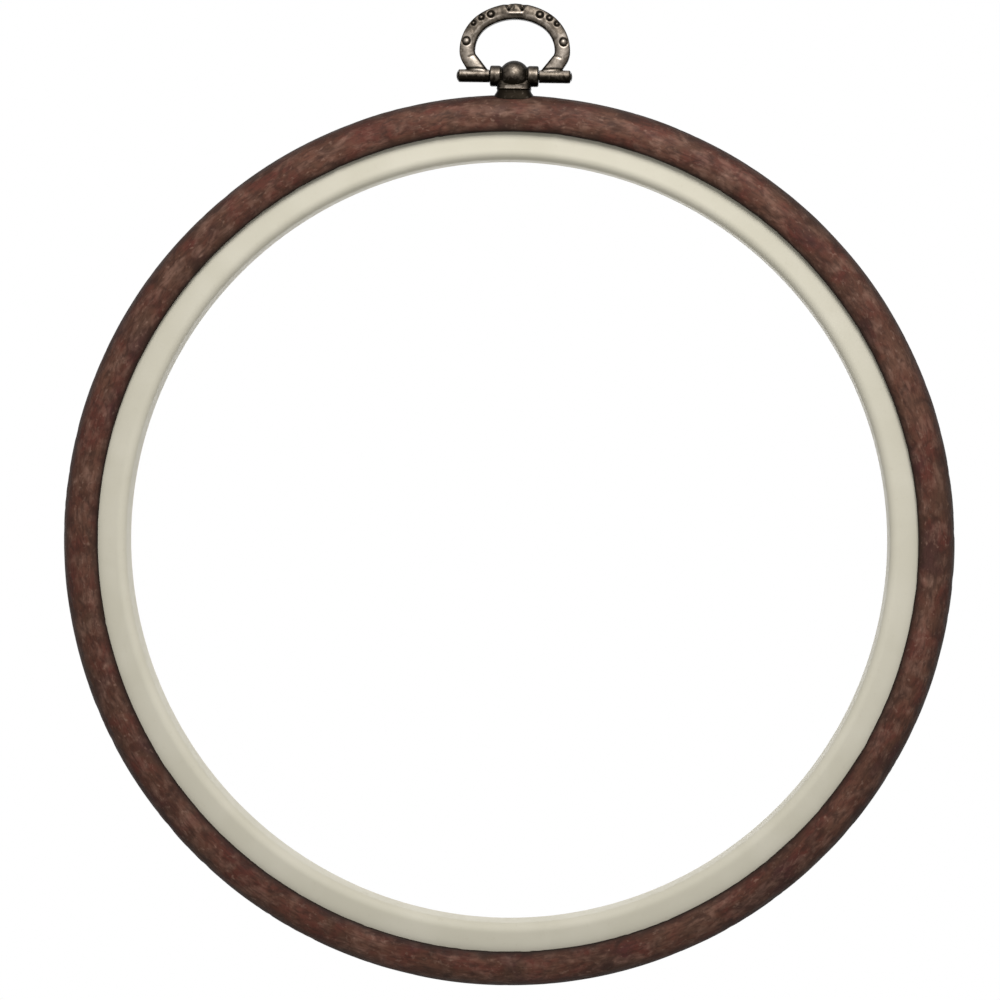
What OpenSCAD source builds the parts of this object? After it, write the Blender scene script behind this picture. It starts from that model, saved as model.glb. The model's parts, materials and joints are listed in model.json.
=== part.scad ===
// Embroidery and framing hoop: a flexible wood-grain ring with a front lip, a rigid
// frame ring that seats in it from the back, and a cast hanger that swings on a pin.
//
// Millimetres. The origin is the centre of the hoop on its mid-plane. +Z runs up to
// the hanger, the front faces -Y, and the frame ring goes in and out at the back, +Y.
// Ring sections are drawn with x as the radius and y towards the front.

/* [Flexible ring] */
// Outside diameter of the hoop
hoop_d = 203.2; // [120:0.1:310]
// Depth of the flexible ring, front to back
ring_depth = 10; // [9:0.1:13]
// Thickness of the ring from the seat to the outside
ring_wall = 7; // [6.2:0.1:8]
// Radius of the domed front
crown_r = 5.4; // [5.1:0.1:6]
// Round of the outer edge at the back
back_edge_r = 2.4; // [1:0.1:3]
// Depth of the lip in front of the frame ring
lip_t = 2; // [1.6:0.1:2.4]
// Radius of the rounded edge of the lip
lip_edge_r = 0.6; // [0.4:0.05:0.75]
// Bevel that leads the frame ring into its seat
seat_bevel = 0.6; // [0.2:0.1:1]

/* [Frame ring] */
// Space for the fabric between the two rings
fabric_gap = 0.3; // [0.15:0.05:0.6]
// Width of the frame ring, inside to outside
frame_w = 7.4; // [5:0.1:9]
// Depth of the frame ring, front to back
frame_depth = 7.5; // [6:0.1:7.7]
// Round of the front inner edge
frame_front_r = 2; // [1:0.1:2.8]
// Round of the other edges
frame_edge_r = 0.5; // [0.2:0.1:0.8]

/* [Hanger head] */
// Height of the pivot above the outside of the ring
pivot_rise = 4.2; // [3.8:0.1:5]
// Diameter of the cross barrel
barrel_d = 4.7; // [4:0.1:5]
// Length of the cross barrel
barrel_w = 11; // [10:0.1:12]
// Round of the ends of the cross barrel
barrel_edge_r = 0.4; // [0.1:0.05:0.6]
// Diameter of the ball in the middle of the barrel
ball_d = 7; // [5.5:0.1:7.4]
// Diameter of the foot where it meets the ring
foot_d = 8.9; // [8.4:0.1:10]
// Diameter of the collar above the foot
collar_d = 7.9; // [7:0.1:8.2]
// Depth of the foot across its two flats
foot_depth = 6.4; // [5.8:0.1:7]

/* [Pivot pin] */
// Diameter of the pin
pin_d = 1.4; // [1:0.05:1.6]
// Pin to head, a press fit on the radius
pin_press = 0.01; // [0.005:0.005:0.02]
// Pin to bail, a running fit on the radius
pin_clearance = 0.05; // [0.02:0.01:0.1]
// Diameter of the peened ends
peen_d = 2.2; // [1.8:0.1:2.6]
// Height of the peened ends
peen_h = 0.3; // [0.2:0.05:0.5]

/* [Bail] */
// Outside width of the bail
bail_w = 25; // [23.5:0.1:27]
// Height of the bail above the pivot
bail_h = 16.25; // [15:0.05:18]
// Width of the bail's band
band_w = 3.5; // [3:0.1:4]
// Thickness of the bail's band
band_t = 2.6; // [2.2:0.1:2.8]
// Radius of the domed front of the band
band_crown_r = 2.7; // [2.2:0.1:2.9]
// Round of the band's back edges
band_edge_r = 0.5; // [0.2:0.1:0.9]
// Height above the pivot where the bail is widest
widest_h = 5.6; // [5:0.1:6.4]
// Shoulder radius, to the middle of the band
shoulder_r = 8.2; // [7.6:0.1:8.4]
// Hip radius, to the middle of the band
hip_r = 3.3; // [3.1:0.1:4]
// Inward lean of the legs, in degrees
leg_lean = 34; // [28:0.5:38]
// Diameter of the knuckles
knuckle_d = 2.9; // [2.8:0.05:3.2]
// Overall width across the knuckles
knuckle_span = 25.4; // [24:0.1:27]
// Free space between the barrel and each knuckle
side_gap = 0.1; // [0.05:0.05:0.3]

/* [Bail ornament] */
// Radius of the groove round each rosette
rosette_r = 0.95; // [0.8:0.05:1.2]
// Half width of that groove
groove_r = 0.3; // [0.2:0.05:0.35]
// Radius of the bead in the middle of each rosette
rosette_bead_r = 0.45; // [0.35:0.05:0.5]
// Height of the rosettes above the pivot
rosette_h = 7.7; // [6.5:0.1:9]
// Radius of the beads on the upper rim
bead_r = 0.75; // [0.5:0.05:0.9]
// How far the beads and the crest stand out of the band
relief = 0.2; // [0.1:0.05:0.3]
// Width of the crest at the top of the bail
crest_w = 4.8; // [3.5:0.1:6]

/* [Fixing screw] */
// Diameter of the screw
screw_d = 2.5; // [2:0.1:3]
// Length of the screw under its head
screw_len = 8; // [7:0.1:8.4]
// Diameter of the screw's head
screw_head_d = 4.5; // [4:0.1:4.8]
// Height of the screw's head
screw_head_h = 1.4; // [1:0.1:1.5]
// Width of the screwdriver slot
slot_w = 0.7; // [0.5:0.1:1]
// Diameter of the washer
washer_d = 5.4; // [5:0.1:5.6]
// Thickness of the washer
washer_t = 0.4; // [0.3:0.05:0.5]
// Depth of the pocket in the seat that hides the screw and washer
pocket_depth = 2; // [1.9:0.1:2.4]

/* [Hidden] */

fine = 128;            // facets of the drawn circles, true curves in the solids
past = 1;              // how far a cutting shape runs past the solid
small = 48;            // facets of the drawn circles of the ornament
round_hoop = 360;      // steps round the hoop, a true circle in the solids
round_arc = 256;       // steps of the bail's arcs, per full turn
contact = 0.02;        // working clearance of screws, washers and the saddle

hoop_r = hoop_d / 2;
half_depth = ring_depth / 2;
seat_r = hoop_r - ring_wall;
lip_back = half_depth - lip_t;

// The dome and the lip's round edge are two circles that touch from inside
crown = [hoop_r - crown_r, half_depth - crown_r];
lip_edge_y = lip_back + lip_edge_r;
lip_edge = [
    crown[0] - sqrt(pow(crown_r - lip_edge_r, 2) - pow(lip_edge_y - crown[1], 2)),
    lip_edge_y
];
lip_in = lip_edge[0] - lip_edge_r;

frame_out_r = seat_r - fabric_gap;
window_r = frame_out_r - frame_w;
frame_front = lip_back - fabric_gap;
frame_back = frame_front - frame_depth;

pivot_z = hoop_r + pivot_rise;
pin_r = pin_d / 2;
knuckle_in = barrel_w / 2 + side_gap;
knuckle_out = knuckle_span / 2;
knuckle_edge_r = 0.3;

// The bail's middle line: a top arc, two shoulders, two hips and two leaning legs
mid_x = (bail_w - band_w) / 2;
mid_h = bail_h - band_w / 2;
shoulder_x = mid_x - shoulder_r;
hip_x = mid_x - hip_r;
top_rise = mid_h - widest_h;
top_r = (pow(shoulder_x, 2) + pow(top_rise, 2) - pow(shoulder_r, 2))
    / (2 * (top_rise - shoulder_r));
top_h = mid_h - top_r;
join_angle = atan2(widest_h - top_h, shoulder_x);
leg_start = [
    hip_x + hip_r * cos(leg_lean),
    widest_h - hip_r * sin(leg_lean)
];
bead_inset = 0.12;     // from the rim of the band to the side of a bead
bead_angles = [44, 59];    // places of two beads on the shoulder, in degrees
top_bead_step = 8;     // from the end of the shoulder to the third bead, in degrees
crest_rib_r = 0.6;
crest_rise = 0.15;     // how far the crest's ribs stand above the band
crest_spread = 16;     // lean of the crest's outer ribs, in degrees
rosette_angle = asin((rosette_h - widest_h) / shoulder_r);

// The screw goes up through the ring, from a pocket in the seat
pocket_top = seat_r + pocket_depth;
washer_top = pocket_top - contact;
head_top = washer_top - washer_t - contact;
screw_tip = head_top + screw_len;
pocket_play = 0.1;     // free space round the washer in its pocket
washer_play = 0.1;     // free space round the screw in its washer
pocket_r = washer_d / 2 + pocket_play;

// What lies outside a round of radius r, for a corner that points to +x +y.
// Each turn moves the corner on by a quarter.
module corner_waste(corner, r, turn) {
    translate(corner)
        rotate(90 * turn)
            difference() {
                translate([-r, -r]) square(r + past);
                translate([-r, -r]) circle(r = r, $fn = fine);
            }
}

// Turns a section into a ring about the hoop's axis
module ring() {
    rotate([90, 0, 0]) rotate_extrude($fn = round_hoop) children();
}

// Section of the flexible ring from its crest outwards, grown by extra
module outside_section(extra = 0) {
    difference() {
        translate([crown[0] - past, -half_depth - extra])
            square([crown_r + past + extra, ring_depth + 2 * extra]);
        corner_waste([hoop_r + extra, half_depth + extra], crown_r + extra, 0);
        corner_waste([hoop_r + extra, -half_depth - extra], back_edge_r + extra, 3);
    }
}

// What lies in front of the dome and of the lip's round edge, inside the crest
module lip_waste() {
    reach = 2 * crown_r;
    to_lip = (lip_edge - crown) / norm(lip_edge - crown);
    translate(crown)
        difference() {
            polygon([[0, 0], [0, reach], [-reach, reach], to_lip * reach]);
            circle(r = crown_r, $fn = fine);
        }
    translate(lip_edge)
        difference() {
            polygon([
                [0, 0], to_lip * reach, [-reach, reach], [-reach, -reach], [0, -reach]
            ]);
            circle(r = lip_edge_r, $fn = fine);
        }
}

module outer_section() {
    difference() {
        translate([lip_in, -half_depth]) square([hoop_r - lip_in, ring_depth]);
        corner_waste([hoop_r, half_depth], crown_r, 0);
        corner_waste([hoop_r, -half_depth], back_edge_r, 3);
        lip_waste();
        translate([lip_in - past, -half_depth - past])
            square([seat_r - lip_in + past, lip_back + half_depth + past]);
        translate([seat_r, -half_depth])
            rotate(45)
                square(seat_bevel * sqrt(2), center = true);
    }
}

// Flexible vinyl ring: domed front, flat back, a lip over the frame ring, and at
// the top a pocket and a clearance hole for the hanger's screw
module outer_ring() {
    color("#5e4034")
        difference() {
            ring() outer_section();
            translate([0, 0, seat_r - past])
                rotate_extrude($fn = fine) {
                    square([pocket_r, pocket_depth + past]);
                    square([screw_d / 2 + 2 * contact, ring_wall + 2 * past]);
                }
        }
}

// Rigid frame ring with a rounded front inner edge
module inner_ring() {
    color("#d8d2c0")
        ring()
            difference() {
                translate([window_r, frame_back]) square([frame_w, frame_depth]);
                corner_waste([frame_out_r, frame_front], frame_edge_r, 0);
                corner_waste([window_r, frame_front], frame_front_r, 1);
                corner_waste([window_r, frame_back], frame_edge_r, 2);
                corner_waste([frame_out_r, frame_back], frame_edge_r, 3);
            }
}

// Half section of the barrel and ball, to be turned about the pivot
module barrel_section() {
    difference() {
        translate([0, -barrel_w / 2]) square([barrel_d / 2, barrel_w]);
        corner_waste([barrel_d / 2, barrel_w / 2], barrel_edge_r, 0);
        corner_waste([barrel_d / 2, -barrel_w / 2], barrel_edge_r, 3);
    }
    intersection() {
        circle(r = ball_d / 2, $fn = fine);
        translate([0, -ball_d]) square([ball_d, 2 * ball_d]);
    }
}

// Half section of the foot: a collar that flares in a cove to the ring
module foot_section() {
    cove_r = (foot_d - collar_d) / 2;
    cove_top = -pivot_rise + 2 * cove_r;
    difference() {
        translate([0, -2 * pivot_rise]) square([foot_d / 2, 2 * pivot_rise]);
        translate([collar_d / 2 + cove_r, cove_top]) circle(r = cove_r, $fn = fine);
        translate([collar_d / 2, cove_top]) square([cove_r + past, pivot_rise]);
    }
}

// Cast hanger head: cross barrel, ball and a foot that is saddled on the ring
module hanger_head() {
    color("#6a6255")
        difference() {
            translate([0, 0, pivot_z]) {
                rotate([0, 90, 0]) rotate_extrude($fn = fine) barrel_section();
                intersection() {
                    rotate_extrude($fn = fine) foot_section();
                    cube([foot_d + past, foot_depth, 4 * pivot_rise], center = true);
                }
            }
            ring() outside_section(contact);
            translate([-barrel_w, 0, pivot_z])
                rotate([0, 90, 0])
                    cylinder(r = pin_r - pin_press, h = 2 * barrel_w, $fn = fine);
            cylinder(r = screw_d / 2 + contact, h = screw_tip + contact, $fn = fine);
        }
}

// Pivot pin, peened at both ends
module pivot_pin() {
    peened = knuckle_out + side_gap;
    color("#8a7f6c")
        translate([0, 0, pivot_z])
            rotate([0, 90, 0])
                rotate_extrude($fn = fine) {
                    translate([0, -peened]) square([pin_r, 2 * peened]);
                    translate([0, peened]) peen();
                    translate([0, -peened]) mirror([0, 1]) peen();
                }
}

// Half section of a peened end, a flat dome on a short rim
module peen() {
    dome_r = (pow(peen_d / 2, 2) + pow(peen_h, 2)) / (2 * peen_h);
    intersection() {
        translate([0, peen_h - dome_r]) circle(r = dome_r, $fn = fine);
        square([peen_d, peen_h]);
    }
}

// Section of the band: x across it, y towards the front
module band_section() {
    difference() {
        intersection() {
            translate([-band_w / 2, -band_t / 2]) square([band_w, band_t]);
            translate([0, band_t / 2 - band_crown_r]) circle(r = band_crown_r, $fn = fine);
        }
        corner_waste([-band_w / 2, -band_t / 2], band_edge_r, 2);
        corner_waste([band_w / 2, -band_t / 2], band_edge_r, 3);
    }
}

// Part of the band on an arc about centre, from angle a to angle b
module band_arc(centre, r, a, b) {
    translate([centre[0], centre[1], 0])
        rotate([0, 0, a])
            rotate_extrude(angle = b - a, $fn = round_arc)
                translate([r, 0]) band_section();
}

// One leg, straight from the hip into its knuckle
module leg() {
    drop = leg_start[1] / cos(leg_lean);
    intersection() {
        translate([leg_start[0], leg_start[1], 0])
            rotate([0, 0, -leg_lean])
                rotate([90, 0, 0])
                    linear_extrude(height = drop + band_w) band_section();
        translate([knuckle_in, 0, -band_t])
            cube([knuckle_out, leg_start[1] + band_w, 2 * band_t]);
    }
}

// One knuckle, turned about the pivot, rounded at both ends
module knuckle() {
    translate([knuckle_in, 0, 0])
        rotate([90, 0, 90])
            rotate_extrude($fn = fine)
                difference() {
                    square([knuckle_d / 2, knuckle_out - knuckle_in]);
                    corner_waste([knuckle_d / 2, 0], knuckle_edge_r / 2, 3);
                    corner_waste([knuckle_d / 2, knuckle_out - knuckle_in], knuckle_edge_r, 0);
                }
}

// A bead that stands out of the front, at a radius and angle about centre
module bead(centre, r, angle, size) {
    at = centre + r * [cos(angle), sin(angle)];
    translate([at[0], at[1], band_t / 2 + relief - size]) sphere(r = size, $fn = small);
}

// The round groove cut into the front about a side rosette
module rosette_groove() {
    at = [shoulder_x, widest_h] + shoulder_r * [cos(rosette_angle), sin(rosette_angle)];
    translate([at[0], at[1], band_t / 2])
        rotate_extrude($fn = small)
            translate([rosette_r, 0]) circle(r = groove_r, $fn = small);
}

// Right half of the bail, drawn flat with the front up
module half_bail() {
    shoulder = [shoulder_x, widest_h];
    rim = band_w / 2 - bead_r - bead_inset;
    difference() {
        union() {
            band_arc([0, top_h], top_r, join_angle, 90);
            band_arc(shoulder, shoulder_r, 0, join_angle);
            band_arc([hip_x, widest_h], hip_r, -leg_lean, 0);
            leg();
            knuckle();
            for (angle = bead_angles) bead(shoulder, shoulder_r + rim, angle, bead_r);
            bead([0, top_h], top_r + rim / 2, join_angle + top_bead_step, bead_r);
        }
        rosette_groove();
    }
    bead(shoulder, shoulder_r, rosette_angle, rosette_bead_r);
}

// Crest at the top of the bail: three ribs that spread from a bar
module crest() {
    bar_h = mid_h - band_w / 4;
    front = band_t / 2 + relief - crest_rib_r;
    for (side = [-1, 0, 1])
        translate([side * crest_w / 4, bar_h, front])
            rotate([-90, 0, -side * crest_spread])
                cylinder(r = crest_rib_r, h = bail_h + crest_rise - bar_h, $fn = small);
    translate([-crest_w / 2, bar_h, front])
        rotate([0, 90, 0])
            cylinder(r = crest_rib_r, h = crest_w, $fn = small);
}

// Cast bail: the arched band, its ornament and the two bored knuckles
module hanger_bail() {
    color("#7d7465")
        translate([0, 0, pivot_z])
            difference() {
                rotate([90, 0, 0]) {
                    half_bail();
                    mirror([1, 0, 0]) half_bail();
                    crest();
                }
                translate([-knuckle_span, 0, 0])
                    rotate([0, 90, 0])
                        cylinder(r = pin_r + pin_clearance, h = 2 * knuckle_span, $fn = fine);
            }
}

// Slotted cheese-head screw that holds the hanger from inside the ring
module fixing_screw() {
    color("#b9bbbd")
        difference() {
            union() {
                translate([0, 0, head_top - screw_head_h])
                    cylinder(d = screw_head_d, h = screw_head_h, $fn = fine);
                translate([0, 0, head_top - screw_head_h / 2])
                    cylinder(d = screw_d, h = screw_len + screw_head_h / 2, $fn = fine);
            }
            translate([0, 0, head_top - screw_head_h])
                cube([screw_head_d + past, slot_w, screw_head_h], center = true);
        }
}

// Flat washer between the screw's head and the pocket
module screw_washer() {
    color("#c9cacb")
        translate([0, 0, washer_top - washer_t])
            difference() {
                cylinder(d = washer_d, h = washer_t, $fn = fine);
                translate([0, 0, -past])
                    cylinder(r = screw_d / 2 + washer_play, h = washer_t + 2 * past, $fn = fine);
            }
}

outer_ring();
inner_ring();
hanger_head();
pivot_pin();
hanger_bail();
fixing_screw();
screw_washer();
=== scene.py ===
# %% [markdown]
# # A framing hoop with a swinging hanger
# The real object is a hoop that stretches embroidery and then frames it on the wall.
# A soft brown ring, moulded to look like wood, grips a stiff ivory ring. A small cast
# hanger in antique brass swings on a pin at the top.
# The CAD parts are loaded first and give every place and size. The parts whose surface
# tells their story, which are the grained ring and the two castings, are worked out here
# as numpy surfaces. So are the stiff ring and the pin, because their rounds show facets
# in the CAD mesh. The screw and its washer inside the ring keep their CAD shape.

import json

import bmesh
import bpy
import numpy as np
from mathutils import Matrix, Vector


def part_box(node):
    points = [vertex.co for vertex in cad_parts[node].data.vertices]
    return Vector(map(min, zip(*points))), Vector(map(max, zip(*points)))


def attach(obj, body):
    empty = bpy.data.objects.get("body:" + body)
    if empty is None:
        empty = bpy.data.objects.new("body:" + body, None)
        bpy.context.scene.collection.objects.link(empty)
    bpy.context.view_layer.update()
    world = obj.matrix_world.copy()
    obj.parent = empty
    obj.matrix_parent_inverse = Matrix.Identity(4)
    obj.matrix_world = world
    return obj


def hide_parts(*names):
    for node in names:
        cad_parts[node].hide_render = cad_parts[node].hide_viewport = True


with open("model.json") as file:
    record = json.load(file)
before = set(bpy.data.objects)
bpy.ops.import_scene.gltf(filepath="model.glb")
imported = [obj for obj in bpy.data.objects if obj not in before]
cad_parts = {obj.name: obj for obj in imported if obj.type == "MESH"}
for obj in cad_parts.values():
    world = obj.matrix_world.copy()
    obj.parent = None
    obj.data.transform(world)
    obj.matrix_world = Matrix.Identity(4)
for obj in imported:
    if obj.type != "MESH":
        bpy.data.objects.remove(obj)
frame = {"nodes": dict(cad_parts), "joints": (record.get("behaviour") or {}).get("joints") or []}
scene = bpy.context.scene
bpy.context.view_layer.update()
MM = 0.001

# %% [markdown]
# ## Sizes shared with the CAD
# The hoop's centre is the origin, +Z runs up to the hanger and the front faces -Y. The
# outside sizes are read off the loaded parts, in millimetres, and the roundings and wall
# sizes, which a box doesn't show, are written down. Sections are drawn with the radius
# first and the height towards the front second.

# %% Sizes
def box_mm(node):
    """Lowest and highest corner of a CAD part, in whole hundredths of a millimetre."""
    return [np.round(np.array(corner) / MM, 2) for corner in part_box(node)]


ring_box, frame_box, bail_box = (box_mm(n) for n in ("outer_ring", "inner_ring", "hanger_bail"))
HOOP_R, HALF_DEPTH = ring_box[1][0], ring_box[1][1]
FRAME_OUT_R, FRAME_FRONT, FRAME_BACK = frame_box[1][0], -frame_box[0][1], -frame_box[1][1]
PIVOT_Z = frame["joints"][0]["pos_m"][2] / MM
KNUCKLE_OUT = bail_box[1][0]
print("hoop", HOOP_R, HALF_DEPTH, "frame", FRAME_OUT_R, FRAME_FRONT, FRAME_BACK)
print("pivot", PIVOT_Z, "knuckles to", KNUCKLE_OUT)
SEAT_R = HOOP_R - 7.0
LIP_BACK = HALF_DEPTH - 2.0
CROWN_R = 5.4
CROWN = np.array([HOOP_R - CROWN_R, HALF_DEPTH - CROWN_R])
LIP_EDGE_R = 0.6
LIP_EDGE = np.array([
    CROWN[0] - np.sqrt((CROWN_R - LIP_EDGE_R) ** 2 - (LIP_BACK + LIP_EDGE_R - CROWN[1]) ** 2),
    LIP_BACK + LIP_EDGE_R,
])
BACK_EDGE_R = 2.4
SEAT_BEVEL = 0.6
print(f"the lip reaches in to {LIP_EDGE[0] - LIP_EDGE_R:.2f} mm")

# %% [markdown]
# ## From points to a mesh
# Every new piece is a grid of points, so one function turns any grid into a mesh. The
# rows of faces come from index arrays, with no loop over points. A second function turns
# a set of faces over if their volume comes out negative, so that they all face outwards.

# %% Grid helpers
def grid_faces(rows, columns, close_rows=True, close_columns=True):
    """Four-sided faces that join each point to the next in its row and in its column."""
    i = np.arange(rows if close_rows else rows - 1)[:, None]
    j = np.arange(columns if close_columns else columns - 1)[None, :]
    next_i, next_j = (i + 1) % rows, (j + 1) % columns
    corners = (i * columns + j, next_i * columns + j,
               next_i * columns + next_j, i * columns + next_j)
    return np.stack(corners, axis=-1).reshape(-1, 4)


def flat_grid(grid):
    """The points of a grid in one list, row after row."""
    return grid.reshape(-1, 3)


def outward(points, faces):
    """The faces, turned over if the sum of a . (b x c) over their triangles is negative.
    The order b, a, d, c turns a face over and leaves its last two corners last."""
    a, b, c, d = (points[faces[:, k]] for k in range(4))
    volume = np.einsum("ij,ij->", a, np.cross(b, c)) + np.einsum("ij,ij->", a, np.cross(c, d))
    return faces if volume > 0 else faces[:, [1, 0, 3, 2]]


def new_piece(name, points_mm, faces):
    """A smooth-shaded object at the origin from points in millimetres and faces. A face
    whose last corner is its third one again becomes three-sided."""
    mesh = bpy.data.meshes.new(name)
    three_sided = faces[:, 3] == faces[:, 2]
    corners = faces[~three_sided].tolist() + faces[three_sided, :3].tolist()
    mesh.from_pydata((points_mm * MM).tolist(), [], corners)
    mesh.shade_smooth()
    piece = bpy.data.objects.new(name, mesh)
    scene.collection.objects.link(piece)
    return piece


def mesh_points(mesh):
    """The mesh's points as an array, in millimetres."""
    co = np.empty(len(mesh.vertices) * 3, np.float32)
    mesh.vertices.foreach_get("co", co)
    return co.reshape(-1, 3).astype(float) / MM


def mesh_value(piece, name, values):
    """Stores one number a point on the mesh, for a material to read."""
    layer = piece.data.attributes.new(name, "FLOAT", "POINT")
    layer.data.foreach_set("value", values.astype(np.float32))


# %% [markdown]
# A grid that is round along its columns and open along its rows is a tube. Its two ends
# are closed with a fan of faces round a middle point, so that every piece is one closed
# skin.

# %% Tubes
def tube(grid):
    """Closes a grid, open along its rows and round along its columns, with a middle
    point at each end, and gives its points and faces. The fans' faces have their third
    corner twice."""
    rows, columns = grid.shape[:2]
    points = np.vstack([flat_grid(grid), grid[0].mean(axis=0), grid[-1].mean(axis=0)])
    sides = grid_faces(rows, columns, close_rows=False)
    j = np.arange(columns)
    next_j = (j + 1) % columns
    middle = np.full(columns, rows * columns)
    last = (rows - 1) * columns
    first_cap = np.stack([middle, j, next_j, next_j], axis=-1)
    last_cap = np.stack([middle + 1, last + next_j, last + j, last + j], axis=-1)
    return points, outward(points, np.vstack([sides, first_cap, last_cap]))


# %% [markdown]
# ## Profiles
# A profile is a line of points made of straight runs and arcs. It is then cut into equal
# steps by its length, so that a surface made from it has even faces.

# %% Profile helpers
def arc(centre, radius, start, end, count=24):
    """Points at centre + radius (cos a, sin a) as a goes from start to end, in degrees."""
    a = np.radians(np.linspace(start, end, count))
    return np.column_stack([centre[0] + radius * np.cos(a), centre[1] + radius * np.sin(a)])


def even_steps(profile, count, closed=True):
    """count points at equal steps of length along the profile, and their lengths."""
    if closed:
        profile = np.vstack([profile, profile[:1]])
    length = np.concatenate([[0], np.cumsum(np.linalg.norm(np.diff(profile, axis=0), axis=1))])
    at = np.linspace(0, length[-1], count, endpoint=not closed)
    return np.column_stack([np.interp(at, length, profile[:, k]) for k in range(2)]), at


# %% [markdown]
# ## The flexible ring
# This ring is soft PVC, moulded with a domed front, and its surface carries the grain of
# the wood that it imitates. A turned profile alone would look like a plain tube. So the
# profile runs round the hoop's centre and each point then sinks by a sum of many long
# waves, the way furrows lie in worn wood: long round the ring and short across it.

# %% Profile of the flexible ring
lip_angle = np.degrees(np.arctan2(*(LIP_EDGE - CROWN)[::-1]))
ring_profile = np.vstack([
    arc(LIP_EDGE, LIP_EDGE_R, 270, lip_angle),
    arc(CROWN, CROWN_R, lip_angle, 0, 60),
    arc([HOOP_R - BACK_EDGE_R, BACK_EDGE_R - HALF_DEPTH], BACK_EDGE_R, 0, -90),
    [[SEAT_R + SEAT_BEVEL, -HALF_DEPTH], [SEAT_R, SEAT_BEVEL - HALF_DEPTH], [SEAT_R, LIP_BACK]],
])
RING_STEPS, PROFILE_STEPS = 1100, 88
section, along = even_steps(ring_profile, PROFILE_STEPS)
print(f"profile {along[-1]:.1f} mm round, a point every {along[1]:.2f} mm")

# %% Waves of the grain
def waves(angle, across, long_mm, short_mm, count, seed):
    """A sum of cosines with whole numbers of waves round the ring and random ones across
    it, long_mm and short_mm from crest to crest, scaled to a spread of about 1."""
    rng = np.random.default_rng(seed)
    turns = np.rint(2 * np.pi * HOOP_R / long_mm * rng.normal(0, 1, count))
    steps = 2 * np.pi / short_mm * rng.normal(0, 1, count)
    phase = rng.uniform(0, 2 * np.pi, count)
    total = np.zeros(np.broadcast(angle, across).shape)
    for k in range(count):
        total += np.cos(turns[k] * angle + steps[k] * across + phase[k])
    return total * np.sqrt(2 / count)


# %% Depth of the grain
def step(value, start, end):
    """0 up to start, 1 past end and a straight rise between them. Where end is the lower
    one, it falls instead, from 1 at end to 0 at start."""
    return np.clip((value - start) / (end - start), 0, 1)


FURROW_DEPTH, SWELL_DEPTH, FURROW_WANDER = 0.10, 0.05, 1.1
theta = np.linspace(0, 2 * np.pi, RING_STEPS, endpoint=False)[:, None]
across_ring = along[None, :]
wander = waves(theta, across_ring, long_mm=16, short_mm=9, count=24, seed=3)
bent = across_ring + FURROW_WANDER * wander
grain = waves(theta, bent, long_mm=9, short_mm=2.6, count=70, seed=5)
furrow = step(grain, 0.35, 1.95)
swell = waves(theta, across_ring, long_mm=30, short_mm=8, count=20, seed=8)
swell = 0.5 + 0.5 * np.tanh(swell)

# The seat, the lip's underside, the inner part of the back and the place under the
# hanger's foot stay plain.
off_back = section[:, 1] + HALF_DEPTH + 1.2 * (section[:, 0] - SEAT_R)
grained = step(off_back, 2.0, 3.5)
grained[(section[:, 0] < SEAT_R + 0.3) & (section[:, 1] < LIP_BACK + 0.2)] = 0
from_head = np.abs((theta - np.pi / 2 + np.pi) % (2 * np.pi) - np.pi) * HOOP_R
grained = grained[None, :] * step(from_head, 6.0, 9.0)
sink = (FURROW_DEPTH * furrow + SWELL_DEPTH * swell) * grained
print(f"furrows up to {sink.max():.2f} mm deep, {furrow.mean():.0%} of the ring furrowed")

# %% Surface of the flexible ring
tangent = np.roll(section, -1, axis=0) - np.roll(section, 1, axis=0)
normal = np.column_stack([-tangent[:, 1], tangent[:, 0]])
normal /= np.linalg.norm(normal, axis=1)[:, None]
radius = section[:, 0] - sink * normal[:, 0]
depth = section[:, 1] - sink * normal[:, 1]
ring_points = np.stack([radius * np.cos(theta), -depth, radius * np.sin(theta)], axis=-1)
print("grid of", ring_points.shape[:2], "points round and across")

# %% [markdown]
# The ring has a pocket in its seat for the screw that holds the hanger, and a hole
# through to the hanger's foot. They are cut with a boolean, because a hole is awkward in
# a grid. The cutter is itself a turned profile. A boolean can leave slivers without area
# along its cut, so those are dissolved, and faces of more than four sides are split.

# %% Mesh of the flexible ring
def turned(profile, steps, axis):
    """The profile's first number is the radius round the axis and its second the place
    on it: the point is axis * place + radius * (cos a, sin a) in the other two."""
    a = np.linspace(0, 2 * np.pi, steps, endpoint=False)[:, None]
    r, place = profile[None, :, 0], profile[None, :, 1] + 0 * a
    first, second = r * np.cos(a), r * np.sin(a)
    order = {"x": (place, first, second), "z": (first, second, place)}[axis]
    return np.stack(order, axis=-1)


def turned_rod(profile, steps, axis):
    """Points and faces of an open profile turned round an axis and closed at its ends."""
    return tube(turned(profile, steps, axis).swapaxes(0, 1))


POCKET_R, POCKET_DEPTH, SCREW_HOLE_R, PAST = 2.8, 2.0, 1.29, 3.0
POCKET_TOP = SEAT_R + POCKET_DEPTH
pocket_profile = np.array([
    [POCKET_R, SEAT_R - PAST], [POCKET_R, POCKET_TOP],
    [SCREW_HOLE_R, POCKET_TOP], [SCREW_HOLE_R, HOOP_R + PAST],
])
cutter = new_piece("pocket_cutter", *turned_rod(pocket_profile, steps=63, axis="z"))

ring_faces = outward(flat_grid(ring_points), grid_faces(RING_STEPS, PROFILE_STEPS))
vinyl_ring = new_piece("vinyl_ring", flat_grid(ring_points), ring_faces)
mesh_value(vinyl_ring, "across", np.broadcast_to(along, (RING_STEPS, PROFILE_STEPS)).ravel())
mesh_value(vinyl_ring, "furrow", (furrow * grained).ravel())

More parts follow.
